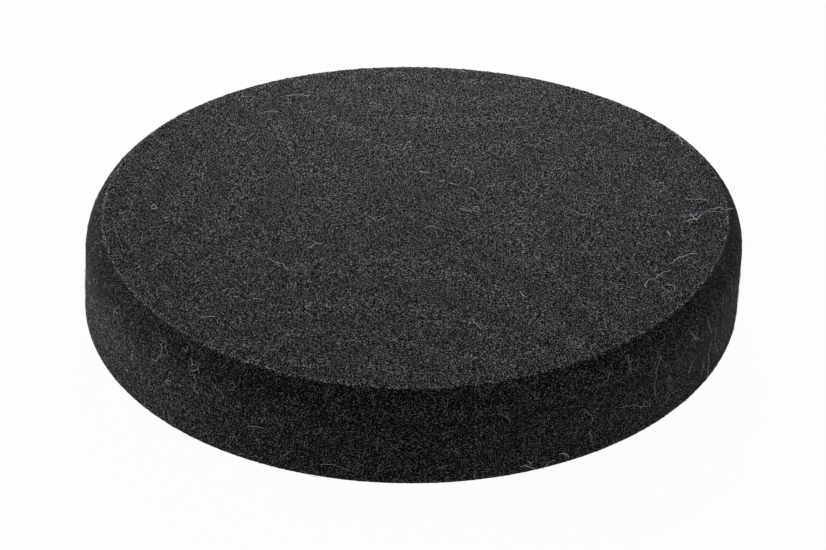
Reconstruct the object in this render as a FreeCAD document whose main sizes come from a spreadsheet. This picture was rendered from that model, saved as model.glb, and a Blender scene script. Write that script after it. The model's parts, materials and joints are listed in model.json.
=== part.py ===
import FreeCAD, Part
import math
import os
import Sketcher

# Flat foam polishing pad, 150 x 25 mm, for a machine polisher. It lies working face up.
# The origin is the centre of the underside, +Z goes up through the pad to the working face,
# and every length is in millimetres. From the bottom up the pad is a stack of four pieces:
# the loop pile that a backing plate grips, the knitted ground cloth that holds the loops,
# the film that bonds the cloth to the foam, and the turned foam disc itself.

SIZES = {
    # alias: (value, what it is)
    "pad_diameter": (150.0, "foam disc across its widest point, at the foot of the wall"),
    "pad_thickness": (25.0, "underside of the pile to the working face"),
    "wall_top_diameter": (149.0, "foam disc where the wall meets the shoulder"),
    "face_diameter": (141.2, "flat working face inside the shoulder"),
    "shoulder_depth": (7.2, "height of the turned shoulder below the working face"),
    "shoulder_radius": (9.3, "bulge of the turned shoulder"),
    "foot_round": (2.0, "rounding of the foam's lower edge"),
    "backing_diameter": (144.0, "film, cloth and pile, set in from the foam all round"),
    "film_thickness": (0.2, "hot-melt bonding film"),
    "cloth_thickness": (0.6, "knitted ground cloth"),
    "pile_height": (1.2, "loops standing out of the ground cloth"),
}

PILE_TOP = "<<Sizes>>.pile_height"
CLOTH_TOP = PILE_TOP + " + <<Sizes>>.cloth_thickness"
FOAM_BASE = CLOTH_TOP + " + <<Sizes>>.film_thickness"


def make_sheet(doc):
    """Put the driving dimensions in a spreadsheet, one named cell each."""
    sheet = doc.addObject("Spreadsheet::Sheet", "Sizes")
    for row, (alias, (value, meaning)) in enumerate(SIZES.items(), start=1):
        sheet.set(f"A{row}", alias)
        sheet.set(f"B{row}", str(value))
        sheet.setAlias(f"B{row}", alias)
        sheet.set(f"C{row}", meaning)
    doc.recompute()
    return sheet


def make_body(doc, label):
    """Start an empty body whose label becomes the name of its file."""
    body = doc.addObject("PartDesign::Body", label)
    body.Label = label
    return body


def make_sketch(body, name, plane_role):
    """Start a sketch on one of the body's own origin planes."""
    planes = [item for item in body.Origin.OriginFeatures if item.Role == plane_role]
    sketch = body.newObject("Sketcher::SketchObject", name)
    sketch.AttachmentSupport = [(planes[0], "")]
    sketch.MapMode = "FlatFace"
    return sketch


def drive(sketch, constraint, name, expression):
    """Add a dimension to a sketch and bind it to the sheet."""
    index = sketch.addConstraint(constraint)
    sketch.renameConstraint(index, name)
    sketch.setExpression("Constraints." + name, expression)


def make_layer(doc, sheet, label, base, thickness_alias):
    """Build one round layer of the backing: a circle padded up from its base height."""
    body = make_body(doc, label)
    sketch = make_sketch(body, label + "_outline", "XY_Plane")
    radius = sheet.backing_diameter / 2
    circle = sketch.addGeometry(Part.Circle(FreeCAD.Vector(0, 0, 0), FreeCAD.Vector(0, 0, 1), radius))
    sketch.addConstraint(Sketcher.Constraint("Coincident", circle, 3, -1, 1))
    drive(
        sketch,
        Sketcher.Constraint("Diameter", circle, 2 * radius),
        "Across",
        "<<Sizes>>.backing_diameter",
    )
    if base:
        sketch.setExpression("AttachmentOffset.Base.z", base)
    pad = body.newObject("PartDesign::Pad", label + "_pad")
    pad.Profile = sketch
    pad.setExpression("Length", "<<Sizes>>." + thickness_alias)
    body.Tip = pad
    return body


def shoulder_arc(rim, crease, radius):
    """Arc that bulges outward from the rim of the face down to the top of the wall."""
    chord = crease - rim
    half = chord.Length / 2
    inward = FreeCAD.Vector(chord.y, -chord.x, 0).normalize()
    centre = (rim + crease) / 2 + inward * math.sqrt(radius * radius - half * half)
    start = math.atan2(crease.y - centre.y, crease.x - centre.x)
    end = math.atan2(rim.y - centre.y, rim.x - centre.x)
    circle = Part.Circle(centre, FreeCAD.Vector(0, 0, 1), radius)
    return Part.ArcOfCircle(circle, start, end)


def draw_foam_profile(sketch, sheet):
    """Draw half of the foam's section: axis, face, shoulder, wall and base."""
    base = sheet.pile_height + sheet.cloth_thickness + sheet.film_thickness
    top = sheet.pad_thickness
    crease_height = top - sheet.shoulder_depth
    low_centre = FreeCAD.Vector(0, base, 0)
    top_centre = FreeCAD.Vector(0, top, 0)
    rim = FreeCAD.Vector(sheet.face_diameter / 2, top, 0)
    crease = FreeCAD.Vector(sheet.wall_top_diameter / 2, crease_height, 0)
    foot = FreeCAD.Vector(sheet.pad_diameter / 2, base, 0)

    axis = sketch.addGeometry(Part.LineSegment(low_centre, top_centre))
    face = sketch.addGeometry(Part.LineSegment(top_centre, rim))
    shoulder = sketch.addGeometry(shoulder_arc(rim, crease, sheet.shoulder_radius))
    wall = sketch.addGeometry(Part.LineSegment(crease, foot))
    under = sketch.addGeometry(Part.LineSegment(foot, low_centre))

    # An arc's start is its end at the crease, because it runs anticlockwise up to the rim.
    joins = [
        (axis, 2, face, 1),
        (face, 2, shoulder, 2),
        (shoulder, 1, wall, 1),
        (wall, 2, under, 1),
        (under, 2, axis, 1),
    ]
    for first, first_end, second, second_end in joins:
        sketch.addConstraint(Sketcher.Constraint("Coincident", first, first_end, second, second_end))
    sketch.addConstraint(Sketcher.Constraint("PointOnObject", axis, 1, -2))
    sketch.addConstraint(Sketcher.Constraint("Vertical", axis))
    sketch.addConstraint(Sketcher.Constraint("Horizontal", face))
    sketch.addConstraint(Sketcher.Constraint("Horizontal", under))

    drive(sketch, Sketcher.Constraint("DistanceY", -1, 1, axis, 1, base), "Base", FOAM_BASE)
    drive(
        sketch,
        Sketcher.Constraint("DistanceY", -1, 1, axis, 2, top),
        "Top",
        "<<Sizes>>.pad_thickness",
    )
    drive(
        sketch,
        Sketcher.Constraint("DistanceX", -1, 1, face, 2, rim.x),
        "FaceRadius",
        "<<Sizes>>.face_diameter / 2",
    )
    drive(
        sketch,
        Sketcher.Constraint("DistanceX", -1, 1, wall, 1, crease.x),
        "WallTopRadius",
        "<<Sizes>>.wall_top_diameter / 2",
    )
    drive(
        sketch,
        Sketcher.Constraint("DistanceY", -1, 1, wall, 1, crease_height),
        "CreaseHeight",
        "<<Sizes>>.pad_thickness - <<Sizes>>.shoulder_depth",
    )
    drive(
        sketch,
        Sketcher.Constraint("DistanceX", -1, 1, wall, 2, foot.x),
        "FootRadius",
        "<<Sizes>>.pad_diameter / 2",
    )
    drive(
        sketch,
        Sketcher.Constraint("Radius", shoulder, sheet.shoulder_radius),
        "ShoulderRadius",
        "<<Sizes>>.shoulder_radius",
    )


def find_foot_edge(shape, radius):
    """Name the lowest full circle of the foam, where the wall meets the underside."""
    found = []
    for index, edge in enumerate(shape.Edges, start=1):
        if isinstance(edge.Curve, Part.Circle) and abs(edge.Curve.Radius - radius) < 1e-6:
            found.append((edge.Curve.Center.z, f"Edge{index}"))
    return min(found)[1]


def make_foam_disc(doc, sheet):
    """Turn the foam disc from its section and round its lower edge."""
    body = make_body(doc, "foam_disc")
    sketch = make_sketch(body, "foam_section", "XZ_Plane")
    draw_foam_profile(sketch, sheet)
    turned = body.newObject("PartDesign::Revolution", "turned_foam")
    turned.Profile = sketch
    turned.ReferenceAxis = (sketch, ["V_Axis"])
    turned.Angle = 360
    doc.recompute()

    foot = body.newObject("PartDesign::Fillet", "foot_rounding")
    foot.Base = (turned, [find_foot_edge(turned.Shape, sheet.pad_diameter / 2)])
    foot.setExpression("Radius", "<<Sizes>>.foot_round")
    body.Tip = foot
    return body


def check_document(doc, bodies):
    """Stop if any object failed to rebuild or any piece isn't one good solid."""
    for item in doc.Objects:
        if "Invalid" in item.State or "Error" in item.State:
            raise RuntimeError(f"{item.Label} did not rebuild: {item.State}")
    for body in bodies:
        shape = body.Shape
        if shape.isNull() or not shape.isValid() or len(shape.Solids) != 1:
            raise RuntimeError(f"{body.Label} is not one valid solid")


def main():
    """Build the four pieces, check them and write one STEP file for each."""
    doc = FreeCAD.newDocument("polishing_pad")
    sheet = make_sheet(doc)
    bodies = [
        make_layer(doc, sheet, "loop_pile", None, "pile_height"),
        make_layer(doc, sheet, "loop_ground_cloth", PILE_TOP, "cloth_thickness"),
        make_layer(doc, sheet, "adhesive_film", CLOTH_TOP, "film_thickness"),
        make_foam_disc(doc, sheet),
    ]
    doc.recompute()
    check_document(doc, bodies)

    os.makedirs("parts", exist_ok=True)
    for body in bodies:
        body.Shape.exportStep(f"parts/{body.Label}.step")
        box = body.Shape.optimalBoundingBox()
        volume = body.Shape.Volume / 1000
        print(f"{body.Label}: z {box.ZMin:.2f} to {box.ZMax:.2f}, across {box.XLength:.2f}, {volume:.2f} cm3")


main()
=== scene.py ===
"""Foam polishing pad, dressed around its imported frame: foam, bonding film, loop cloth and lint."""

import json
import logging
import math
from collections.abc import Callable
from dataclasses import dataclass, field
from enum import Enum
from functools import partial

import bpy
import numpy as np
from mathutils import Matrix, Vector

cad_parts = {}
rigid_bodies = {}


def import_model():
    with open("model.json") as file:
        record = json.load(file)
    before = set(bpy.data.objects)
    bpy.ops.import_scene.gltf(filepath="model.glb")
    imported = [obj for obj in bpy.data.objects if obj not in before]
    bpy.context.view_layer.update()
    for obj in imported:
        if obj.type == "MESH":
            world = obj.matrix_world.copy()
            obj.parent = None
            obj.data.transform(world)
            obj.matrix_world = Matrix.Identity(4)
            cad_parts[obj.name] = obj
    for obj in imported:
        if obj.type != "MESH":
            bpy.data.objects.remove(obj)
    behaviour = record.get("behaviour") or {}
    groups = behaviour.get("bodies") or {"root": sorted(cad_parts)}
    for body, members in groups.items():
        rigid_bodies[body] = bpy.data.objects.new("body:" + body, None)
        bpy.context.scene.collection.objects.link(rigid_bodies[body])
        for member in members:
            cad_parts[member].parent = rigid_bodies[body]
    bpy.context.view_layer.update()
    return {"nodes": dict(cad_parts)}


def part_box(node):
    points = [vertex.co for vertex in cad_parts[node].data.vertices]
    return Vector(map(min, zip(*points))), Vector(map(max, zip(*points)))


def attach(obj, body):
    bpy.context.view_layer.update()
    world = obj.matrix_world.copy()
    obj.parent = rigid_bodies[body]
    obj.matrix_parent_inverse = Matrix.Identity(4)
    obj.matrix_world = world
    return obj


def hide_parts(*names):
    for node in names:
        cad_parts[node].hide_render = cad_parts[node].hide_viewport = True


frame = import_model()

log = logging.getLogger("polishing_pad")

MM = 0.001
FULL_TURN = 2 * math.pi
# A wave texture of scale 1 repeats each 0.314 of a unit.
WAVE_REPEAT = 0.314
# How far the sawn wall's cells are closed: 0 is open foam and 1 a smooth skin.
CLOSED_WALL = 0.35


# ---------------- small tools


def linear(hex_colour: str) -> tuple[float, float, float, float]:
    """Turn an sRGB colour into the linear values that a shader socket takes.

    Args:
        hex_colour: Six hex digits after a hash, as in "#1a1a1c".

    Returns:
        Linear red, green, blue and an alpha of 1.
    """
    channels = [int(hex_colour[i : i + 2], 16) / 255 for i in (1, 3, 5)]
    red, green, blue = (c / 12.92 if c <= 0.04045 else ((c + 0.055) / 1.055) ** 2.4 for c in channels)
    return red, green, blue, 1.0


def add_node(
    tree: bpy.types.NodeTree,
    kind: str,
    inputs: dict[int | str, object] | None = None,
    **settings: object,
) -> bpy.types.Node:
    """Add a node with its settings, socket values and links.

    Args:
        tree: Shader or geometry tree that the node joins.
        kind: Blender's name for the node's type.
        inputs: Socket name or number, and the value it holds or the output it is linked from.
        settings: Properties of the node itself.

    Returns:
        The new node.
    """
    node = tree.nodes.new(kind)
    for name, value in settings.items():
        setattr(node, name, value)
    for key, value in (inputs or {}).items():
        if isinstance(value, bpy.types.NodeSocket):
            tree.links.new(value, node.inputs[key])
        else:
            node.inputs[key].default_value = value
    return node


def blank_material(name: str) -> tuple[bpy.types.Material, Callable[..., bpy.types.Node]]:
    """Start a material with an empty tree.

    Args:
        name: Name of the material.

    Returns:
        The material, and add_node for its own tree.
    """
    material = bpy.data.materials.new(name)
    material.use_nodes = True
    material.node_tree.nodes.clear()
    return material, partial(add_node, material.node_tree)


def mesh_object(
    name: str,
    points: np.ndarray,
    faces: np.ndarray,
    smooth: bool = True,
) -> bpy.types.Object:
    """Make a mesh object at the origin from arrays.

    Args:
        name: Name of the object and its mesh.
        points: Vertex places in metres, one row each.
        faces: Vertex numbers, one row for each face, all faces with as many corners.
        smooth: Whether the faces are shaded smooth.

    Returns:
        The object, linked to the scene.
    """
    mesh = bpy.data.meshes.new(name)
    corners = faces.shape[1]
    mesh.vertices.add(len(points))
    mesh.vertices.foreach_set("co", points.astype(np.float32).ravel())
    mesh.loops.add(faces.size)
    mesh.loops.foreach_set("vertex_index", faces.astype(np.int32).ravel())
    mesh.polygons.add(len(faces))
    mesh.polygons.foreach_set("loop_start", np.arange(0, faces.size, corners, dtype=np.int32))
    mesh.update(calc_edges=True)
    mesh.validate()
    if smooth:
        mesh.shade_smooth()
    piece = bpy.data.objects.new(name, mesh)
    bpy.context.collection.objects.link(piece)
    return piece


def store(piece: bpy.types.Object, name: str, values: np.ndarray) -> None:
    """Keep one number for each vertex of a piece as a named attribute."""
    attribute = piece.data.attributes.new(name, "FLOAT", "POINT")
    attribute.data.foreach_set("value", values.astype(np.float32))


class NodeGroupBuilder:
    """A geometry tree with named inputs, which ends in realised, dressed geometry."""

    def __init__(self, name: str, sizes: dict[str, float], material: bpy.types.Material) -> None:
        """Start the tree.

        Args:
            name: Name of the tree.
            sizes: Named inputs and the values that the modifier gives them.
            material: Material that the result wears.
        """
        self.tree = bpy.data.node_groups.new(name, "GeometryNodeTree")
        self.sizes = sizes
        self.material = material
        face = self.tree.interface
        face.new_socket(name="Geometry", in_out="INPUT", socket_type="NodeSocketGeometry")
        for size in sizes:
            face.new_socket(name=size, in_out="INPUT", socket_type="NodeSocketFloat")
        face.new_socket(name="Geometry", in_out="OUTPUT", socket_type="NodeSocketGeometry")
        self.node = partial(add_node, self.tree)
        self.given = self.node("NodeGroupInput").outputs

    def finish(self, geometry: bpy.types.NodeSocket) -> None:
        """Close the tree: realise the instances, put the material on and hand the result out.

        Args:
            geometry: The socket that carries the finished geometry.
        """
        real = self.node("GeometryNodeRealizeInstances", {"Geometry": geometry})
        dressed = self.node(
            "GeometryNodeSetMaterial",
            {"Geometry": real.outputs[0], "Material": self.material},
        )
        self.node("NodeGroupOutput", {0: dressed.outputs[0]})

    def apply(self, piece: bpy.types.Object) -> None:
        """Run the tree on a piece and keep the result as its plain mesh.

        Args:
            piece: The object whose mesh the tree reworks.
        """
        modifier = piece.modifiers.new(self.tree.name, "NODES")
        modifier.node_group = self.tree
        for item in self.tree.interface.items_tree:
            if item.in_out == "INPUT" and item.name in self.sizes:
                modifier[item.identifier] = float(self.sizes[item.name])
        evaluated = piece.evaluated_get(bpy.context.evaluated_depsgraph_get())
        mesh = bpy.data.meshes.new_from_object(evaluated)
        piece.modifiers.remove(modifier)
        piece.data = mesh
        mesh.name = piece.name


# ---------------- finishes


@dataclass(frozen=True)
class FoamFinish:
    """Open-cell polyurethane foam, dyed black in the block, then ground flat on the face.

    The open pores are holes that swallow the light, and the cut struts between them are matt. So
    the eye sees a fine black and grey grain with no gloss at all: the near black of the pores is
    painted shade in the holes, and the light grey of the strut tips is painted glints. The mottle is
    the slow change in how open the cells are, and the sawn wall has a thin closed skin that greys it.
    """

    # The pores are painted near black, as shade in the holes, and the strut tips light grey, as painted
    # glints.
    pore_shade_hex: str = "#020202"
    strut_hex: str = "#0e0e0f"
    tip_glint_hex: str = "#818185"
    skin_hex: str = "#101011"
    pore_at: float = 0.49
    strut_at: float = 0.56
    tip_at: float = 0.66
    cell_mm: float = 0.27
    fibre_mm: float = 0.165
    mottle_mm: float = 9.0
    mottle_share: float = 0.06
    bump_mm: float = 0.12
    roughness: float = 0.95
    specular: float = 0.04

    def build(self) -> bpy.types.Material:
        """Build the foam material.

        Returns:
            The material, which reads the skin's zone attributes.
        """
        material, add = blank_material("black_open_cell_foam")
        place = add("ShaderNodeTexCoord").outputs["Object"]
        cells = add(
            "ShaderNodeTexVoronoi",
            {"Vector": place, "Scale": 1 / (self.cell_mm * MM)},
            feature="F1",
        ).outputs["Distance"]
        grit = add(
            "ShaderNodeTexNoise",
            {"Vector": place, "Scale": 1 / (self.fibre_mm * MM), "Detail": 1.0},
        ).outputs[0]
        grain = add("ShaderNodeMix", {0: 0.5, 2: cells, 3: grit}).outputs[0]
        # The grain runs from painted shade in the pores through the struts' own near black to painted
        # glints on the tips.
        ramp = add("ShaderNodeValToRGB", {0: grain})
        stops = ramp.color_ramp.elements
        stops[0].position, stops[0].color = self.pore_at, linear(self.pore_shade_hex)
        stops[1].position, stops[1].color = self.tip_at, linear(self.tip_glint_hex)
        middle = stops.new(self.strut_at)
        middle.color = linear(self.strut_hex)
        mottle = add(
            "ShaderNodeTexNoise",
            {"Vector": place, "Scale": 1 / (self.mottle_mm * MM), "Detail": 2.0},
        ).outputs[0]
        shade = add(
            "ShaderNodeMapRange",
            {0: mottle, 1: 0.3, 2: 0.7, 3: 1 - self.mottle_share, 4: 1 + self.mottle_share},
        ).outputs[0]
        # The skin's painted light and shade: a darker wall, a dark crease line, darker flank shoulders and
        # a light rim line.
        zone = add("ShaderNodeAttribute", attribute_name="painted_light_and_shade").outputs["Fac"]
        gain = add("ShaderNodeMath", {0: shade, 1: zone}, operation="MULTIPLY").outputs[0]
        closed = add("ShaderNodeAttribute", attribute_name="closed").outputs["Fac"]
        softened = add(
            "ShaderNodeMix",
            {0: closed, 6: ramp.outputs[0], 7: linear(self.skin_hex)},
            data_type="RGBA",
        ).outputs[2]
        colour = add("ShaderNodeVectorMath", {0: softened, "Scale": gain}, operation="SCALE").outputs[0]
        bump = add("ShaderNodeBump", {"Height": grain, "Distance": self.bump_mm * MM, "Strength": 0.6})
        shader = add(
            "ShaderNodeBsdfPrincipled",
            {
                "Base Color": colour,
                "Roughness": self.roughness,
                "Specular IOR Level": self.specular,
                "Normal": bump.outputs[0],
            },
        )
        add("ShaderNodeOutputMaterial", {"Surface": shader.outputs[0]})
        return material


@dataclass(frozen=True)
class LintFinish:
    """Bleached cotton and polyester lint, shed by a cloth and caught on the foam.

    A matt off-white thread with a cold cast. One fibre is about 0.02 mm thick, which is too fine
    to show, so the fibres are drawn two to five times as thick, and greyer to keep their weight.
    """

    name: str = "bleached_lint"
    hex_colour: str = "#c2c5ce"
    patch_mm: float = 2.5
    darkest: float = 0.55
    lightest: float = 1.2
    roughness: float = 0.8

    def build(self) -> bpy.types.Material:
        """Build the lint material, a little darker and lighter from fibre to fibre.

        Returns:
            The lint material.
        """
        material, add = blank_material(self.name)
        place = add("ShaderNodeTexCoord").outputs["Object"]
        patchy = add(
            "ShaderNodeTexNoise",
            {"Vector": place, "Scale": 1 / (self.patch_mm * MM)},
        ).outputs[0]
        shade = add(
            "ShaderNodeMapRange",
            {0: patchy, 1: 0.35, 2: 0.65, 3: self.darkest, 4: self.lightest},
        ).outputs[0]
        colour = add(
            "ShaderNodeVectorMath",
            {0: linear(self.hex_colour)[:3], "Scale": shade},
            operation="SCALE",
        ).outputs[0]
        shader = add(
            "ShaderNodeBsdfPrincipled",
            {"Base Color": colour, "Roughness": self.roughness, "Specular IOR Level": 0.3},
        )
        add("ShaderNodeOutputMaterial", {"Surface": shader.outputs[0]})
        return material


@dataclass(frozen=True)
class YarnFinish:
    """Textured nylon yarn, dyed black: a soft sheen along the filaments and no hard gloss."""

    dark_hex: str = "#18181a"
    light_hex: str = "#3c3c40"
    filament_mm: float = 0.09
    bump_mm: float = 0.03
    roughness: float = 0.6

    def build(self) -> bpy.types.Material:
        """Build the yarn material, streaked by its filaments.

        Returns:
            The yarn material.
        """
        material, add = blank_material("black_nylon_yarn")
        place = add("ShaderNodeTexCoord").outputs["Object"]
        streaks = add(
            "ShaderNodeTexNoise",
            {"Vector": place, "Scale": 1 / (self.filament_mm * MM), "Detail": 2.0},
        ).outputs[0]
        ramp = add("ShaderNodeValToRGB", {0: streaks})
        stops = ramp.color_ramp.elements
        stops[0].position, stops[0].color = 0.35, linear(self.dark_hex)
        stops[1].position, stops[1].color = 0.65, linear(self.light_hex)
        bump = add("ShaderNodeBump", {"Height": streaks, "Distance": self.bump_mm * MM, "Strength": 0.5})
        shader = add(
            "ShaderNodeBsdfPrincipled",
            {
                "Base Color": ramp.outputs[0],
                "Roughness": self.roughness,
                "Sheen Weight": 0.3,
                "Normal": bump.outputs[0],
            },
        )
        add("ShaderNodeOutputMaterial", {"Surface": shader.outputs[0]})
        return material


@dataclass(frozen=True)
class KnitFinish:
    """Warp-knitted polyester ground cloth, dyed black: rows of small stitches in straight wales."""

    wale_mm: float = 0.9
    course_mm: float = 0.7
    dark_hex: str = "#0c0c0d"
    light_hex: str = "#2c2c2f"
    bump_mm: float = 0.1
    unevenness: dict[str, float] = field(default_factory=lambda: {"Distortion": 0.6, "Detail Scale": 400.0})

    def build(self) -> bpy.types.Material:
        """Build the cloth material from two crossing waves, one for each way of the knit.

        Returns:
            The cloth material.
        """
        material, add = blank_material("black_knitted_ground")
        place = add("ShaderNodeTexCoord").outputs["Object"]
        wales = add(
            "ShaderNodeTexWave",
            {"Vector": place, "Scale": WAVE_REPEAT / (self.wale_mm * MM), **self.unevenness},
            bands_direction="X",
        ).outputs["Fac"]
        courses = add(
            "ShaderNodeTexWave",
            {"Vector": place, "Scale": WAVE_REPEAT / (self.course_mm * MM), **self.unevenness},
            bands_direction="Y",
        ).outputs["Fac"]
        stitch = add("ShaderNodeMath", {0: wales, 1: courses}, operation="MULTIPLY").outputs[0]
        ramp = add("ShaderNodeValToRGB", {0: stitch})
        stops = ramp.color_ramp.elements
        stops[0].position, stops[0].color = 0.1, linear(self.dark_hex)
        stops[1].position, stops[1].color = 0.8, linear(self.light_hex)
        bump = add("ShaderNodeBump", {"Height": stitch, "Distance": self.bump_mm * MM})
        shader = add(
            "ShaderNodeBsdfPrincipled",
            {
                "Base Color": ramp.outputs[0],
                "Roughness": 0.85,
                "Sheen Weight": 0.2,
                "Normal": bump.outputs[0],
            },
        )
        add("ShaderNodeOutputMaterial", {"Surface": shader.outputs[0]})
        return material


@dataclass(frozen=True)
class FilmFinish:
    """Hot-melt polyamide film, smoked grey: smooth with a soft shine, and cloudy where it flowed."""

    clear_hex: str = "#232326"
    cloudy_hex: str = "#3a3a3e"
    cloud_mm: float = 3.0
    bump_mm: float = 0.05

    def build(self) -> bpy.types.Material:
        """Build the film material.

        Returns:
            The film material.
        """
        material, add = blank_material("smoked_hot_melt_film")
        place = add("ShaderNodeTexCoord").outputs["Object"]
        cloud = add(
            "ShaderNodeTexNoise",
            {"Vector": place, "Scale": 1 / (self.cloud_mm * MM), "Detail": 4.0},
        ).outputs[0]
        ramp = add("ShaderNodeValToRGB", {0: cloud})
        stops = ramp.color_ramp.elements
        stops[0].position, stops[0].color = 0.4, linear(self.clear_hex)
        stops[1].position, stops[1].color = 0.6, linear(self.cloudy_hex)
        bump = add("ShaderNodeBump", {"Height": cloud, "Distance": self.bump_mm * MM})
        shader = add(
            "ShaderNodeBsdfPrincipled",
            {"Base Color": ramp.outputs[0], "Roughness": 0.35, "Normal": bump.outputs[0]},
        )
        add("ShaderNodeOutputMaterial", {"Surface": shader.outputs[0]})
        return material


# ---------------- foam disc


@dataclass
class FoamDisc:
    """The foam disc: one closed skin of fine rings, with its cells as relief.

    Lengths are in millimetres. The disc is not quite true: its face leans a little to +X and
    sags into a shallow saddle, as a soft disc does once it has been cut and stored.
    """

    face_inset: float = 4.4
    shoulder_depth: float = 7.2
    shoulder_radius: float = 9.3
    wall_taper: float = 0.5
    foot_round: float = 2.0
    bond_reach: float = 40.0
    bond_margin: float = 2.5
    # Width in millimetres of the painted dark line of shade along the crease.
    crease_width: float = 0.5
    lean: float = 1.0
    saddle: float = 1.36
    saddle_bearing: float = math.radians(-8.8)
    # Bearing of the flank where the shoulder's painted shade is darkest and the rim's painted highlight
    # strongest; the opposite flank matches it.
    flank_bearing: float = math.radians(200)
    grain: float = 0.27
    seed: int = 11
    low: float = field(init=False)
    high: float = field(init=False)
    radius: float = field(init=False)

    def __post_init__(self) -> None:
        """Take the disc's own place from the frame."""
        low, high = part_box("foam_disc")
        self.low = low.z / MM
        self.high = high.z / MM
        self.radius = max(high.x, high.y, -low.x, -low.y) / MM

    def outline(self) -> np.ndarray:
        """Draw half of the section, from the middle of the face round to the underside.

        Returns:
            Rows of radius, height, distance from the rim along the section and local spacing.
        """
        rim = np.array([self.radius - self.face_inset, self.high])
        crease = np.array([self.radius - self.wall_taper, self.high - self.shoulder_depth])
        foot = np.array([self.radius, self.low + self.foot_round])
        chord = rim - crease
        length = np.hypot(*chord)
        outward = np.array([chord[1], -chord[0]]) / length
        centre = (rim + crease) / 2 - outward * math.sqrt(self.shoulder_radius**2 - (length / 2) ** 2)
        first = math.atan2(*(rim - centre)[::-1])
        last = math.atan2(*(crease - centre)[::-1])
        turn = np.linspace(first, last, 60)
        shoulder = centre + self.shoulder_radius * np.stack([np.cos(turn), np.sin(turn)], -1)
        quarter = np.linspace(0, math.pi / 2, 12)
        heel = foot + self.foot_round * np.stack([np.cos(quarter) - 1, -np.sin(quarter)], -1)
        inner = np.array([[0.0, self.low]])
        corners = np.concatenate([[[0.0, self.high]], shoulder, heel, inner])
        steps = np.hypot(*np.diff(corners, axis=0).T)
        along = np.concatenate([[0.0], np.cumsum(steps)])
        heel_at = along[-2]
        fine = np.arange(self.grain, heel_at, self.grain)
        coarse = heel_at + np.cumsum(self.grain * 1.12 ** np.arange(1, 60))
        coarse = coarse[coarse < along[-1] - 1.0]
        places = np.concatenate([fine, coarse])
        spacing = np.gradient(places)
        radii = np.interp(places, along, corners[:, 0])
        heights = np.interp(places, along, corners[:, 1])
        from_rim = places - along[1]
        return np.stack([radii, heights, from_rim, spacing], -1)

    def radius_at(self, heights: np.ndarray) -> np.ndarray:
        """Give the wall's and shoulder's radius at some heights, in millimetres.

        Args:
            heights: Heights in the object's frame, in millimetres.

        Returns:
            The radius at each height, in millimetres.
        """
        rows = self.outline()
        side = rows[(rows[:, 2] > 0) & (rows[:, 1] > self.low + 0.1)][::-1]
        return np.interp(heights, side[:, 1], side[:, 0])

    def warp(self, points: np.ndarray) -> np.ndarray:
        """Lean and sag a set of places in millimetres, more the higher they are.

        Args:
            points: Rows of x, y and z on the true disc.

        Returns:
            The same places on the disc as it really lies.
        """
        share = np.clip((points[:, 2] - self.low) / (self.high - self.low), 0, 1)
        bearing = np.arctan2(points[:, 1], points[:, 0])
        reach = np.hypot(points[:, 0], points[:, 1]) / self.radius
        moved = points.copy()
        moved[:, 0] += self.lean * share
        moved[:, 2] += self.saddle * share * reach**2 * np.cos(2 * (bearing - self.saddle_bearing))
        return moved

    def skin(self) -> bpy.types.Object:
        """Make the closed skin, with the attributes that its relief and its finish read.

        Returns:
            The skin as a mesh object.
        """
        rows = self.outline()
        random = np.random.default_rng(self.seed)
        counts = np.maximum(6, np.round(FULL_TURN * rows[:, 0] / rows[:, 3])).astype(int)
        starts = 1 + np.concatenate([[0], np.cumsum(counts)[:-1]])
        ring = np.repeat(np.arange(len(rows)), counts)
        step = np.arange(counts.sum()) - (starts[ring] - 1)
        jitter = random.uniform(-0.3, 0.3, len(ring))
        bearing = FULL_TURN * (step + jitter) / counts[ring]
        radius, height, from_rim = rows[ring, 0], rows[ring, 1], rows[ring, 2]
        points = np.stack([radius * np.cos(bearing), radius * np.sin(bearing), height], -1)
        top, bottom = [[0.0, 0.0, self.high]], [[0.0, 0.0, self.low]]
        points = self.warp(np.concatenate([top, points, bottom]))
        from_rim = np.concatenate([[from_rim[0]], from_rim, [from_rim[-1]]])
        faces = [self.fan(0, 1, counts[0], False)]
        for a, b, n_a, n_b in zip(starts[:-1], starts[1:], counts[:-1], counts[1:], strict=True):
            faces.append(self.zip_rings(a, n_a, b, n_b))
        faces.append(self.fan(len(points) - 1, starts[-1], counts[-1], True))
        piece = mesh_object("foam_disc_skin", points * MM, np.concatenate(faces))
        self.mark_zones(piece, from_rim, np.arctan2(points[:, 1], points[:, 0]))
        return piece

    @staticmethod
    def fan(centre: int, start: int, count: int, under: bool) -> np.ndarray:
        """Close a pole: join a ring of count vertices to the one in its centre.

        Args:
            centre: Vertex number of the pole.
            start: First vertex of the ring.
            count: How many vertices the ring has.
            under: Whether the pole is on the underside.

        Returns:
            Vertex numbers of the triangles.
        """
        step = np.arange(count)
        first, second = start + step, start + (step + 1) % count
        middle = np.full(count, centre)
        return np.stack([middle, second, first] if under else [middle, first, second], -1)

    @staticmethod
    def zip_rings(a: int, count_a: int, b: int, count_b: int) -> np.ndarray:
        """Join two rings whose counts differ, with one triangle for each edge of either.

        Args:
            a: First vertex of the ring nearer the middle of the face.
            count_a: How many vertices that ring has.
            b: First vertex of the next ring out.
            count_b: How many vertices that one has.

        Returns:
            Vertex numbers of the triangles.
        """
        step_a, step_b = np.arange(count_a), np.arange(count_b)
        middle_a, middle_b = (step_a + 0.5) / count_a, (step_b + 0.5) / count_b
        across_b = np.searchsorted(middle_b, middle_a, side="left") % count_b
        across_a = np.searchsorted(middle_a, middle_b, side="right") % count_a
        inner = np.stack([a + step_a, b + across_b, a + (step_a + 1) % count_a], -1)
        outer = np.stack([b + step_b, b + (step_b + 1) % count_b, a + across_a], -1)
        return np.concatenate([inner, outer])

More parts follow.
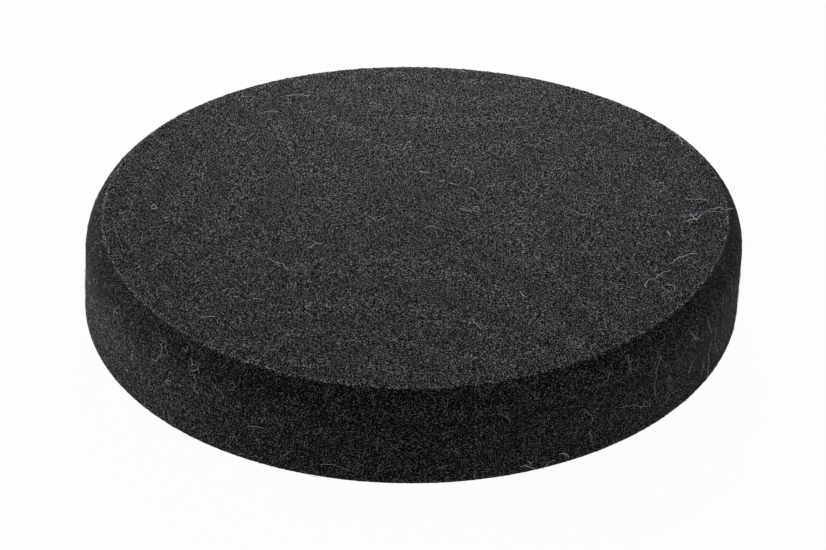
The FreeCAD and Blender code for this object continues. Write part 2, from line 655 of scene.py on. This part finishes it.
    def mark_zones(self, piece: bpy.types.Object, from_rim: np.ndarray, bearing: np.ndarray) -> None:
        """Store each vertex's painted light and shade, how closed its cells are and how deep its relief is.

        Args:
            piece: The skin.
            from_rim: Distance of each vertex from the rim along the section, in millimetres.
            bearing: Bearing of each vertex in radians.
        """
        crease_at = self.shoulder_depth * 1.15
        side = np.clip(from_rim / 0.3, 0, 1)
        shoulder = side * np.clip((crease_at - from_rim) / 2.5, 0, 1)
        # The rim carries a painted highlight all round, strongest on two opposite flanks, towards the front
        # left and the back right, where the shoulder is painted darker as shade; at the front and the back
        # the shoulder is painted a little lighter.
        flank_mask = np.abs(np.cos(bearing - self.flank_bearing))
        rim = np.exp(-((from_rim / 0.25) ** 2))
        # A painted dark line of shade runs along the crease at the foot of the shoulder.
        crease = np.exp(-(((from_rim - crease_at) / self.crease_width) ** 2))
        # The wall is painted darker than the face, partly a duller skin and partly painted shade.
        painted_light_and_shade = 1.0 - 0.33 * side - 0.25 * crease
        painted_light_and_shade += (0.18 - 0.36 * flank_mask) * shoulder + (0.4 + 2.0 * flank_mask) * rim
        # The relief stops under the disc, some way in from its lower edge.
        bonded = from_rim > np.max(from_rim[from_rim < self.bond_reach]) - self.bond_margin
        relief = np.where(bonded, 0.0, 1.0 + 0.5 * shoulder + 0.9 * np.exp(-((from_rim / 0.7) ** 2)))
        store(piece, "painted_light_and_shade", painted_light_and_shade)
        # On those flanks the rim's grain is also evened towards the skin colour, under its painted
        # highlight.
        store(piece, "closed", CLOSED_WALL * side + 0.5 * flank_mask * rim)
        store(piece, "relief", relief)

    def add_relief(self, piece: bpy.types.Object, material: bpy.types.Material) -> None:
        """Sink the pores and raise the struts of the skin with a geometry tree.

        Args:
            piece: The skin.
            material: The foam's material.
        """
        sizes = {
            "Pores per metre": 1 / (0.62 * MM),
            "Pore floor": -0.077 * MM,
            "Pore crest": 0.063 * MM,
            "Swells per metre": 1 / (6 * MM),
            "Swell floor": -0.03 * MM,
            "Swell crest": 0.03 * MM,
        }
        group = NodeGroupBuilder("foam_cell_relief", sizes, material)
        add, given = group.node, group.given
        place = add("GeometryNodeInputPosition").outputs[0]
        pores = add(
            "ShaderNodeTexVoronoi",
            {"Vector": place, "Scale": given["Pores per metre"]},
            feature="F1",
        ).outputs["Distance"]
        swell = add(
            "ShaderNodeTexNoise",
            {"Vector": place, "Scale": given["Swells per metre"]},
        ).outputs[0]
        pore = add(
            "ShaderNodeMapRange",
            {0: pores, 3: given["Pore floor"], 4: given["Pore crest"]},
            clamp=False,
        ).outputs[0]
        rise = add(
            "ShaderNodeMapRange",
            {0: swell, 3: given["Swell floor"], 4: given["Swell crest"]},
        ).outputs[0]
        both = add("ShaderNodeMath", {0: pore, 1: rise}, operation="ADD").outputs[0]
        relief = add("GeometryNodeInputNamedAttribute", {"Name": "relief"}, data_type="FLOAT").outputs[0]
        amount = add("ShaderNodeMath", {0: both, 1: relief}, operation="MULTIPLY").outputs[0]
        normal = add("GeometryNodeInputNormal").outputs[0]
        offset = add("ShaderNodeVectorMath", {0: normal, "Scale": amount}, operation="SCALE").outputs[0]
        moved = add(
            "GeometryNodeSetPosition",
            {"Geometry": given["Geometry"], "Offset": offset},
        ).outputs[0]
        group.finish(moved)
        group.apply(piece)

    def build(self, material: bpy.types.Material) -> bpy.types.Object:
        """Build the foam piece and put it in place of the CAD disc.

        Args:
            material: Foam finish.

        Returns:
            The finished piece.
        """
        piece = self.skin()
        self.add_relief(piece, material)
        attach(piece, "root")
        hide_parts("foam_disc")
        log.info("foam disc: %d triangles", len(piece.data.polygons))
        return piece


# ---------------- loop backing


@dataclass
class GroundCloth:
    """The knitted ground of the backing: a cut disc of cloth. Lengths are in millimetres."""

    grain: float = 1.0
    edge_wave: float = 0.12

    def build(self, material: bpy.types.Material) -> bpy.types.Object:
        """Build the cloth as a closed disc with a softly uneven cut edge.

        Args:
            material: Knit finish.

        Returns:
            The finished cloth.
        """
        low, high = (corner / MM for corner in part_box("loop_ground_cloth"))
        thickness, radius = high.z - low.z, high.x
        across = np.append(np.arange(self.grain, radius, self.grain), radius)
        inward = across[::-1]
        radii = np.concatenate([across, inward])
        heights = np.concatenate([np.full(len(across), high.z), np.full(len(inward), low.z)])
        count = round(FULL_TURN * radius / self.grain)
        turn = FULL_TURN * np.arange(count) / count
        ripple = (np.sin(7 * turn) + np.sin(19 * turn + 1) + np.sin(41 * turn)) / 3
        wave = 1 + self.edge_wave / radius * ripple
        share = np.clip(radii / radius, 0, 1)[:, None] ** 8
        reach = radii[:, None] * (1 - share + share * wave[None, :])
        rows = len(radii)
        points = np.stack(
            [reach * np.cos(turn), reach * np.sin(turn), np.repeat(heights, count).reshape(rows, count)],
            -1,
        ).reshape(-1, 3)
        cell = np.arange((rows - 1) * count).reshape(rows - 1, count)
        beside = np.roll(cell, -1, axis=1)
        quads = np.stack([cell, cell + count, beside + count, beside], -1).reshape(-1, 4)
        first = np.concatenate([quads[:, [0, 1, 2]], quads[:, [0, 2, 3]]])
        poles = np.array([[0, 0, high.z], [0, 0, low.z]])
        caps = [
            FoamDisc.fan(len(points), 0, count, False),
            FoamDisc.fan(len(points) + 1, (rows - 1) * count, count, True),
        ]
        piece = mesh_object(
            "loop_ground_cloth_knit",
            np.concatenate([points, poles]) * MM,
            np.concatenate([first, *caps]),
        )
        piece.data.materials.append(material)
        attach(piece, "root")
        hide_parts("loop_ground_cloth")
        log.info("ground cloth: %.1f mm thick, %d faces", thickness, len(piece.data.polygons))
        return piece


@dataclass
class LoopPile:
    """The loops of the backing, standing in staggered rows on the ground cloth, in millimetres."""

    pitch: float = 1.75
    yarn_radius: float = 0.17
    foot_gap: float = 0.3
    spread: float = 1.5
    root_depth: float = 0.1
    edge_margin: float = 1.2
    seed: int = 5

    def build(self, material: bpy.types.Material) -> bpy.types.Object:
        """Plant one loop on every point of a staggered grid.

        Args:
            material: Yarn finish.

        Returns:
            The finished pile.
        """
        low, high = (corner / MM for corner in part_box("loop_pile"))
        reach = high.x - self.edge_margin
        rows = np.arange(-reach, reach, self.pitch * 0.866)
        columns = np.arange(-reach, reach, self.pitch)
        x, y = np.meshgrid(columns, rows)
        x = x + (np.arange(len(rows)) % 2)[:, None] * self.pitch / 2
        inside = np.hypot(x, y) < reach
        spots = np.stack([x[inside], y[inside], np.full(inside.sum(), high.z + self.root_depth)], -1)
        mesh = bpy.data.meshes.new("loop_pile_yarn")
        mesh.from_pydata((spots * MM).tolist(), [], [])
        piece = bpy.data.objects.new("loop_pile_yarn", mesh)
        bpy.context.collection.objects.link(piece)
        self.raise_loops(piece, high.z - low.z + self.root_depth, material)
        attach(piece, "root")
        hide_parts("loop_pile")
        log.info("loop pile: %d loops, %d faces", inside.sum(), len(piece.data.polygons))
        return piece

    def raise_loops(self, piece: bpy.types.Object, depth: float, material: bpy.types.Material) -> None:
        """Turn each point of the piece into a loop of yarn that hangs down from it.

        Args:
            piece: Object whose vertices are the loops' roots.
            depth: How far a loop reaches below its root, in millimetres.
            material: Yarn finish.
        """
        # A Bezier arch reaches three quarters of the way to its handles.
        drop = (depth - self.yarn_radius) / 0.75
        sizes = {"Yarn radius": self.yarn_radius * MM, "Most turn": 1.2, "Most lean": 0.5}
        group = NodeGroupBuilder("loop_rows", sizes, material)
        add, given = group.node, group.given
        arch = add(
            "GeometryNodeCurvePrimitiveBezierSegment",
            {
                "Resolution": 5,
                "Start": (-self.foot_gap * MM, 0, 0),
                "Start Handle": (-self.spread * MM, 0, -drop * MM),
                "End Handle": (self.spread * MM, 0, -drop * MM),
                "End": (self.foot_gap * MM, 0, 0),
            },
        ).outputs[0]
        yarn = add(
            "GeometryNodeCurvePrimitiveCircle",
            {"Resolution": 3, "Radius": given["Yarn radius"]},
        ).outputs[0]
        loop = add(
            "GeometryNodeCurveToMesh",
            {"Curve": arch, "Profile Curve": yarn, "Fill Caps": True},
        ).outputs[0]
        soft = add("GeometryNodeSetShadeSmooth", {"Geometry": loop}).outputs[0]
        turn, lean = given["Most turn"], given["Most lean"]
        most = add("ShaderNodeCombineXYZ", {0: lean, 1: lean, 2: turn}).outputs[0]
        least = add("ShaderNodeVectorMath", {0: most, "Scale": -1.0}, operation="SCALE").outputs[0]
        swing = add(
            "FunctionNodeRandomValue",
            {"Min": least, "Max": most, "Seed": self.seed},
            data_type="FLOAT_VECTOR",
        ).outputs[0]
        size = add(
            "FunctionNodeRandomValue",
            {2: 0.8, 3: 1.0, "Seed": self.seed + 1},
            data_type="FLOAT",
        ).outputs[1]
        rows = add(
            "GeometryNodeInstanceOnPoints",
            {"Points": given["Geometry"], "Instance": soft, "Rotation": swing, "Scale": size},
        ).outputs[0]
        group.finish(rows)
        group.apply(piece)


class AdhesiveFilm:
    """The bonding film, which keeps its CAD shape and wears its own finish."""

    def dress(self, material: bpy.types.Material) -> None:
        """Put the film finish on the film.

        Args:
            material: The film's material.
        """
        film = frame["nodes"]["adhesive_film"]
        film.data.materials.clear()
        film.data.materials.append(material)
        log.info("adhesive film dressed")


# ---------------- lint


class Side(Enum):
    """Which side of the foam a fibre lies on, and so how its route is given."""

    FACE = "x and y in millimetres from the middle of the face"
    WALL = "bearing in degrees round from +X, and height in millimetres"


@dataclass(frozen=True)
class FibreGroup:
    """Fibres given one by one on one side of the foam, each as the places that it passes."""

    name: str
    side: Side
    weight: float
    routes: tuple[tuple[tuple[float, float], ...], ...]


LAID_FIBRES = (
    FibreGroup("tangle over the rim", Side.FACE, 1.1, (
        ((59.3, -6), (61, -6.5), (62.3, -5.7), (64, -4.8), (66.8, -3.6), (68.6, -2.3), (69.5, -3.4)),
        ((61.2, -8), (63, -7.4), (64, -6), (65.3, -4.5), (67.4, -4.3), (68.7, -4.6)),
        ((68.8, -3.6), (70.4, -4), (71.6, -3.3)),
        ((61.8, -5), (62.2, -6.7), (63, -8.2)),
        ((61, -8.3), (61.8, -7.6), (62.6, -6), (63.4, -5)),
        ((61.5, 1.5), (62.5, 1.2), (63.5, 1.6), (64.5, 1.1), (65.5, 1.3), (66.3, 0.3)),
    )),
    FibreGroup("long stray thread", Side.FACE, 1.1, (
        ((49.4, -35), (50, -33), (50.7, -32.2), (51.8, -32.4), (52.4, -31), (53.5, -29.6), (55.3, -28.8)),
        ((55.6, -26), (56.3, -25.7), (57, -24.2), (59.2, -22.9), (60.2, -22.2), (61.5, -22.4)),
        ((54, -34.3), (55, -34.6), (55.5, -35.3), (55.7, -36.2)),
        ((56, -12.6), (56.7, -13.7), (56.4, -14.6)),
    )),
    FibreGroup("short fibres on the face", Side.FACE, 0.8, (
        ((13.1, -1.7), (13.2, -0.7), (13.8, -0.3), (14.4, -0.9), (14.4, -2.2), (13.7, -2.9), (13.1, -2.2)),
        ((10, -1.5), (11.8, -2.4), (13, -2.7)),
        ((1.9, -10), (2.6, -9.1), (3.4, -8.8), (4.9, -9.9)),
        ((6, 11.2), (6.8, 11.6)),
        ((8, 10.2), (9.3, 9.3), (10.4, 9.5)),
        ((12.4, 8.4), (13.5, 7.5), (14.5, 5.6)),
        ((1, 16), (2.4, 15.5), (3.6, 14.8)),
        ((8.6, 18.5), (9.6, 17.5)),
        ((11.3, 17.1), (13.2, 15.3)),
        ((-10.2, -4.8), (-9.2, -5.9)),
        ((-8.3, -7), (-7.4, -5.7)),
        ((16.6, 8.3), (18.5, 9.8)),
        ((34.6, -2.2), (36.2, -3), (36.4, -4.2), (37.8, -4.8), (39.4, -4.2)),
        ((12.1, -46.1), (12.5, -48), (13.6, -50)),
        ((22.2, -36.1), (22.7, -37.4), (23.6, -38.2)),
        ((-42.3, 52.3), (-39.6, 52.2), (-37.3, 50.9)),
        ((-36.5, 44.4), (-35, 45), (-33.2, 44.6)),
        ((-31.8, 53), (-29, 54), (-25.9, 53.4)),
        ((-32.4, -22.6), (-30.6, -24), (-29, -24.6), (-27.4, -27.4)),
        ((-24.4, -18.2), (-22.8, -17.6), (-21.6, -16)),
        ((-22.4, -15.2), (-21.4, -16.8), (-20.6, -16.4)),
        ((-40.2, -4.4), (-39.2, -5.8)),
        ((-60, -1.6), (-59.2, -0.8), (-58.2, -1.6), (-58.8, -2.8), (-59.6, -2.4)),
        ((-35, -38.6), (-33.6, -38.5), (-32.4, -39)),
        ((-45.5, -45.8), (-43.5, -45.3), (-42, -45.4)),
        ((-31.6, -59.4), (-30.6, -57.4), (-29.2, -57)),
        ((-34.8, -61.6), (-34.2, -60.6), (-33.7, -60.4), (-33.2, -61.2), (-32, -61)),
        ((62, 31.4), (63, 29.8), (63.5, 27.4)),
    )),
    FibreGroup("left of the wall", Side.WALL, 0.6, (
        ((209.8, 18.4), (209.2, 19.8), (209.5, 20.9), (210.6, 21.7)),
        ((209.5, 20), (210.8, 20.4)),
        ((230.6, 20.7), (231.6, 21.3), (232.2, 21.8)),
        ((230.6, 20), (231.5, 19.8), (232.1, 20.6)),
        ((230.4, 22.3), (231.2, 21.2)),
        ((232.1, 22), (232.9, 20.3)),
        ((231.8, 19.6), (232.4, 18.4), (232.4, 17.6), (232, 15.9), (233.1, 15.3)),
        ((235.6, 19.8), (236.2, 19.4), (236.7, 18.2), (237.4, 18.7), (238, 18.2), (238.1, 16.7)),
        ((226.5, 13.4), (225.9, 13.9), (226, 14.8), (226.7, 15)),
        ((228.1, 23.2), (228.6, 22.7), (229, 23.2), (228.6, 23.7)),
        ((223.3, 21.4), (224, 21.2), (224.1, 20.4), (223.9, 19.6)),
        ((222, 17.2), (223.3, 17.6)),
        ((216, 14.5), (216.4, 13.4)),
        ((214.2, 9), (215.3, 9.5)),
        ((242.8, 12), (244.6, 12.8), (246.7, 12.1)),
        ((255.4, 6.4), (257.6, 7), (259.8, 5.8)),
        ((274, 7), (275, 7.4)),
        ((280, 3), (280.2, 5.2)),
    )),
    FibreGroup("right of the wall", Side.WALL, 0.48, (
        ((322, 20.5), (323.2, 18.5), (324, 16.9)),
        ((322.1, 18), (323.5, 18.7), (324.5, 19)),
        ((322.8, 19.6), (323.4, 18.2), (325, 17)),
        ((314.1, 19.8), (313.3, 17.3), (312.9, 13.4), (313.3, 10.2)),
        ((323.4, 12.9), (322.8, 11.5), (322, 10.2)),
        ((329.7, 12.4), (329.1, 10.1), (329.8, 7.1), (329.5, 3.6)),
        ((327.6, 19.5), (328.2, 17.6), (329.9, 14.8)),
        ((315.8, 12.9), (316.8, 13.4)),
        ((307.6, 23.2), (307.3, 21.7), (307.2, 20)),
        ((327.4, 9), (326.4, 6.6)),
        ((333.5, 7.8), (331.6, 11)),
        ((298, 15.2), (299, 14.2), (299.8, 12.9), (299.7, 11)),
        ((299.4, 9.5), (299.9, 7.8), (299.9, 6.5)),
        ((284.5, 18.7), (285.2, 17.1)),
        ((301, 19.6), (302.4, 20.2), (303, 21.6)),
        ((295, 20.2), (295.8, 19), (296.6, 19.8)),
        ((305.3, 12.3), (308, 11.4), (311.3, 8.8)),
    )),
    FibreGroup("fluff at the foot", Side.WALL, 1.1, (
        ((291.5, 2.7), (292, 3.7), (292.8, 4.4), (293.4, 4.9)),
        ((294, 5.8), (294.9, 5.7), (296.1, 4.4)),
        ((287.6, 4.6), (288.5, 5.1), (289.2, 4.2), (290.3, 3)),
        ((288.5, 6), (289.2, 5.1)),
        ((290.8, 2.4), (291.3, 3.4), (291.6, 2.3)),
    )),
)


@dataclass
class Lint:
    """Pale fibres caught on the foam: some listed one by one, the rest scattered. In millimetres."""

    foam: FoamDisc
    thickness: float = 0.09
    lift: float = 0.16
    curl_size: float = 1.2
    curl_reach: float = 1.5
    face_crowd: float = 3.0
    wall_crowd: float = 11.0
    shortest: float = 0.8
    longest: float = 4.0
    kink_every: float = 0.6
    kink: float = 0.15
    seed: int = 23
    random: np.random.Generator = field(init=False)

    def __post_init__(self) -> None:
        """Start the fixed run of random numbers that kinks the fibres."""
        self.random = np.random.default_rng(self.seed)

    def build(self, stout: bpy.types.Material, fine: bpy.types.Material) -> None:
        """Lay the listed fibres and scatter the rest.

        Args:
            stout: Finish of the listed fibres.
            fine: Finish of the scattered ones.
        """
        laid = self.lay_routes(stout)
        strewn = self.scatter(fine)
        for piece in (laid, strewn):
            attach(piece, "root")
            log.info("%s: %d faces", piece.name, len(piece.data.polygons))

    def place(self, side: Side, route: np.ndarray) -> np.ndarray:
        """Find where a fibre runs, just proud of the foam and kinked from cell to cell.

        Args:
            side: Side of the foam that the fibre lies on.
            route: Places that it passes, given as that side says.

        Returns:
            Rows of x, y and z in millimetres.
        """
        if side is Side.FACE:
            height = np.full(len(route), self.foam.high + self.lift)
            places = np.column_stack([route, height])
        else:
            bearing, height = np.radians(route[:, 0]), route[:, 1]
            radius = self.foam.radius_at(height) + self.lift
            places = np.column_stack([radius * np.cos(bearing), radius * np.sin(bearing), height])
        steps = np.linalg.norm(np.diff(places, axis=0), axis=1)
        along = np.concatenate([[0.0], np.cumsum(steps)])
        stops = np.linspace(0, along[-1], max(4, round(along[-1] / self.kink_every)))
        even = np.column_stack([np.interp(stops, along, column) for column in places.T])
        outward = np.array([0.0, 0.0, 1.0]) if side is Side.FACE else even * (1, 1, 0) / self.foam.radius
        kinks = self.random.normal(0, self.kink, even.shape)
        flat = kinks - outward * np.sum(kinks * outward, axis=1, keepdims=True)
        return self.foam.warp(even + flat)

    def lay_routes(self, material: bpy.types.Material) -> bpy.types.Object:
        """Sweep a thin thread along each fibre's smoothed route.

        Args:
            material: The lint's material.

        Returns:
            The laid fibres as one mesh object.
        """
        data = bpy.data.curves.new("lint_laid", "CURVE")
        data.dimensions = "3D"
        data.bevel_depth = self.thickness / 2 * MM
        data.bevel_resolution = 0
        data.use_fill_caps = True
        data.resolution_u = 5
        for group, route in ((group, route) for group in LAID_FIBRES for route in group.routes):
            points = self.place(group.side, np.array(route)) * MM
            spline = data.splines.new("NURBS")
            spline.points.add(len(points) - 1)
            spline.points.foreach_set("co", np.column_stack([points, np.ones(len(points))]).ravel())
            spline.points.foreach_set("radius", np.full(len(points), group.weight))
            spline.order_u = 3
            spline.use_endpoint_u = True
        thread = bpy.data.objects.new("lint_laid", data)
        bpy.context.collection.objects.link(thread)
        mesh = bpy.data.meshes.new_from_object(thread.evaluated_get(bpy.context.evaluated_depsgraph_get()))
        bpy.data.objects.remove(thread)
        piece = bpy.data.objects.new("lint_laid", mesh)
        bpy.context.collection.objects.link(piece)
        mesh.materials.clear()
        mesh.materials.append(material)
        return piece

    def scatter(self, material: bpy.types.Material) -> bpy.types.Object:
        """Strew short curly fibres over a coarse copy of the skin with a geometry tree.

        Args:
            material: The material of the strewn lint.

        Returns:
            The strewn fibres as one mesh object.
        """
        coarse = FoamDisc(grain=2.0)
        piece = coarse.skin()
        piece.name = piece.data.name = "lint_strewn"
        sizes = {
            "Fibres per square metre of face": self.face_crowd * 1e4,
            "Fibres per square metre of wall": self.wall_crowd * 1e4,
            "Shortest": self.shortest * MM,
            "Longest": self.longest * MM,
            "Fibre radius": self.thickness / 2 * MM,
            "Lift": self.lift * MM,
            "Curls per metre": 1 / (self.curl_size * MM),
            "Curl reach": 2 * self.curl_reach * MM,
        }
        group = NodeGroupBuilder("strewn_lint", sizes, material)
        add, given = group.node, group.given
        exposed = add("GeometryNodeInputNamedAttribute", {"Name": "relief"}, data_type="FLOAT").outputs[0]
        open_skin = add("FunctionNodeCompare", {0: exposed, 1: 0.5}).outputs[0]
        closed = add("GeometryNodeInputNamedAttribute", {"Name": "closed"}, data_type="FLOAT").outputs[0]
        crowd = add(
            "ShaderNodeMapRange",
            {
                0: closed,
                2: CLOSED_WALL,
                3: given["Fibres per square metre of face"],
                4: given["Fibres per square metre of wall"],
            },
        ).outputs[0]
        spots = add(
            "GeometryNodeDistributePointsOnFaces",
            {"Mesh": given["Geometry"], "Selection": open_skin, "Density": crowd, "Seed": self.seed},
        ).outputs
        line = add(
            "GeometryNodeCurvePrimitiveLine",
            {"Start": (-0.5, 0, 0), "End": (0.5, 0, 0)},
        ).outputs[0]
        thread = add("GeometryNodeResampleCurve", {"Curve": line, "Count": 9}).outputs[0]
        spin = add("FunctionNodeRandomValue", {2: 0.0, 3: FULL_TURN, "Seed": self.seed + 1}).outputs[1]
        turn = add("ShaderNodeCombineXYZ", {2: spin}).outputs[0]
        facing = add(
            "FunctionNodeRotateRotation",
            {"Rotation": spots["Rotation"], "Rotate By": turn},
            rotation_space="LOCAL",
        ).outputs[0]
        chance = add("FunctionNodeRandomValue", {2: 0.0, 3: 1.0, "Seed": self.seed + 2}).outputs[1]
        # Cubed, so that most of the fibres are short and fine and only a few are long and stout.
        weight = add("ShaderNodeMath", {0: chance, 1: 3.0}, operation="POWER").outputs[0]
        length = add(
            "ShaderNodeMapRange",
            {0: weight, 3: given["Shortest"], 4: given["Longest"]},
        ).outputs[0]
        marked = add(
            "GeometryNodeStoreNamedAttribute",
            {"Geometry": spots["Points"], "Name": "out", "Value": spots["Normal"]},
            data_type="FLOAT_VECTOR",
            domain="POINT",
        ).outputs[0]
        marked = add(
            "GeometryNodeStoreNamedAttribute",
            {"Geometry": marked, "Name": "weight", "Value": weight},
            data_type="FLOAT",
            domain="POINT",
        ).outputs[0]
        strewn = add(
            "GeometryNodeInstanceOnPoints",
            {"Points": marked, "Instance": thread, "Rotation": facing, "Scale": length},
        ).outputs[0]
        real = add("GeometryNodeRealizeInstances", {"Geometry": strewn}).outputs[0]
        place = add("GeometryNodeInputPosition").outputs[0]
        noise = add(
            "ShaderNodeTexNoise",
            {"Vector": place, "Scale": given["Curls per metre"], "Detail": 1.0},
        ).outputs[1]
        middle = (0.5, 0.5, 0.5)
        centred = add("ShaderNodeVectorMath", {0: noise, 1: middle}, operation="SUBTRACT").outputs[0]
        curl = add(
            "ShaderNodeVectorMath",
            {0: centred, "Scale": given["Curl reach"]},
            operation="SCALE",
        ).outputs[0]
        out = add(
            "GeometryNodeInputNamedAttribute",
            {"Name": "out"},
            data_type="FLOAT_VECTOR",
        ).outputs[0]
        outward = add("ShaderNodeVectorMath", {0: curl, 1: out}, operation="PROJECT").outputs[0]
        flat = add("ShaderNodeVectorMath", {0: curl, 1: outward}, operation="SUBTRACT").outputs[0]
        raised = add(
            "ShaderNodeVectorMath",
            {0: out, "Scale": given["Lift"]},
            operation="SCALE",
        ).outputs[0]
        offset = add("ShaderNodeVectorMath", {0: flat, 1: raised}, operation="ADD").outputs[0]
        bent = add("GeometryNodeSetPosition", {"Geometry": real, "Offset": offset}).outputs[0]
        stout = add("GeometryNodeInputNamedAttribute", {"Name": "weight"}, data_type="FLOAT").outputs[0]
        share = add("ShaderNodeMapRange", {0: stout, 3: 0.4, 4: 0.9}).outputs[0]
        section = add(
            "GeometryNodeCurvePrimitiveCircle",
            {"Resolution": 3, "Radius": given["Fibre radius"]},
        ).outputs[0]
        fibres = add(
            "GeometryNodeCurveToMesh",
            {"Curve": bent, "Profile Curve": section, "Scale": share, "Fill Caps": True},
        ).outputs[0]
        group.finish(fibres)
        group.apply(piece)
        return piece


# ---------------- studio


@dataclass(frozen=True)
class SoftBox:
    """One square soft box. Angles are in degrees and lengths in metres.

    Its bearing goes round from +X, its height is above the table, and its grid, where it has one,
    narrows the beam and aims it at a point behind the middle of the pad.
    """

    name: str
    bearing: float
    height: float
    power: float
    size: float = 0.5
    far: float = 0.9
    grid: float = 180.0
    aim_back: float = 0.0
    colour: tuple[float, float, float] = (1, 1, 1)

    def hang(self) -> None:
        """Hang the soft box so that it faces its aim."""
        data = bpy.data.lights.new(self.name, "AREA")
        data.shape = "SQUARE"
        data.size = self.size
        data.energy = self.power
        data.color = self.colour
        data.spread = math.radians(self.grid)
        lamp = bpy.data.objects.new(self.name, data)
        bpy.context.collection.objects.link(lamp)
        bearing, height = math.radians(self.bearing), math.radians(self.height)
        level = math.cos(height) * self.far
        lamp.location = (math.cos(bearing) * level, math.sin(bearing) * level, math.sin(height) * self.far)
        look = Vector((0, self.aim_back, 0)) - lamp.location
        lamp.rotation_euler = look.to_track_quat("-Z", "Y").to_euler()


@dataclass
class Studio:
    """Light table, soft boxes and camera. Lengths are in metres."""

    aim: tuple[float, float, float] = (0.0005, -0.0031, 0.0085)
    elevation: float = math.radians(31.64)
    distance: float = 0.572
    stand: float = 0.0135
    lens: float = 108.7
    softboxes: tuple[SoftBox, ...] = (
        SoftBox("left_softbox", bearing=165, height=4, power=18, size=0.4, colour=(1, 0.96, 0.97)),
        SoftBox("right_softbox", bearing=25, height=9, power=3.7, colour=(0.97, 0.95, 1)),
        SoftBox("back_softbox", bearing=90, height=35, power=0.165, size=0.12, grid=21, aim_back=0.085),
    )

    def add_camera(self) -> None:
        """Place the camera in front of the pad, looking down on it."""
        data = bpy.data.cameras.new("studio_camera")
        data.lens = self.lens
        data.sensor_width = 36.0
        data.clip_start = 0.01
        camera = bpy.data.objects.new("studio_camera", data)
        bpy.context.collection.objects.link(camera)
        seat = Vector((0, -math.cos(self.elevation), math.sin(self.elevation))) * self.distance
        camera.location = seat + Vector((0, 0, self.stand))
        look = Vector(self.aim) - camera.location
        camera.rotation_euler = look.to_track_quat("-Z", "Y").to_euler()
        bpy.context.scene.camera = camera

    def add_floor(self) -> None:
        """Lay the pale glowing table that the pad lies on."""
        size = 6.0
        corners = np.array([[-1, -1, 0], [1, -1, 0], [1, 1, 0], [-1, 1, 0]]) * size
        floor = mesh_object("light_table", corners, np.array([[0, 1, 2, 3]]), smooth=False)
        material, add = blank_material("white_light_table")
        shader = add(
            "ShaderNodeBsdfPrincipled",
            {
                "Base Color": (0.012, 0.012, 0.012, 1),
                "Roughness": 1.0,
                "Specular IOR Level": 0.0,
                "Emission Color": (1, 1, 1, 1),
                "Emission Strength": 0.972,
            },
        )
        add("ShaderNodeOutputMaterial", {"Surface": shader.outputs[0]})
        floor.data.materials.append(material)

    def add_world(self, strength: float) -> None:
        """Fill the room with an even white.

        Args:
            strength: How strong the light from all around is.
        """
        world = bpy.data.worlds.new("white_room")
        world.use_nodes = True
        tree = world.node_tree
        tree.nodes.clear()
        shader = add_node(tree, "ShaderNodeBackground", {"Color": (1, 1, 1, 1), "Strength": strength})
        add_node(tree, "ShaderNodeOutputWorld", {"Surface": shader.outputs[0]})
        bpy.context.scene.world = world

    def build(self) -> None:
        """Set up the whole studio."""
        bpy.context.scene.view_settings.view_transform = "Standard"
        self.add_camera()
        self.add_floor()
        for softbox in self.softboxes:
            softbox.hang()
        self.add_world(0.35)


def main() -> None:
    """Build the studio and every piece of the pad, in order."""
    logging.basicConfig(level=logging.INFO, format="%(name)s: %(message)s")
    for item in list(bpy.data.objects):
        if item.type in {"LIGHT", "CAMERA"} or item.name == "Cube":
            bpy.data.objects.remove(item)
    Studio().build()
    foam = FoamDisc()
    foam.build(FoamFinish().build())
    AdhesiveFilm().dress(FilmFinish().build())
    GroundCloth().build(KnitFinish().build())
    LoopPile().build(YarnFinish().build())
    Lint(foam).build(LintFinish().build(), LintFinish("fine_grey_lint", "#787a82").build())


if __name__ == "__main__":
    main()
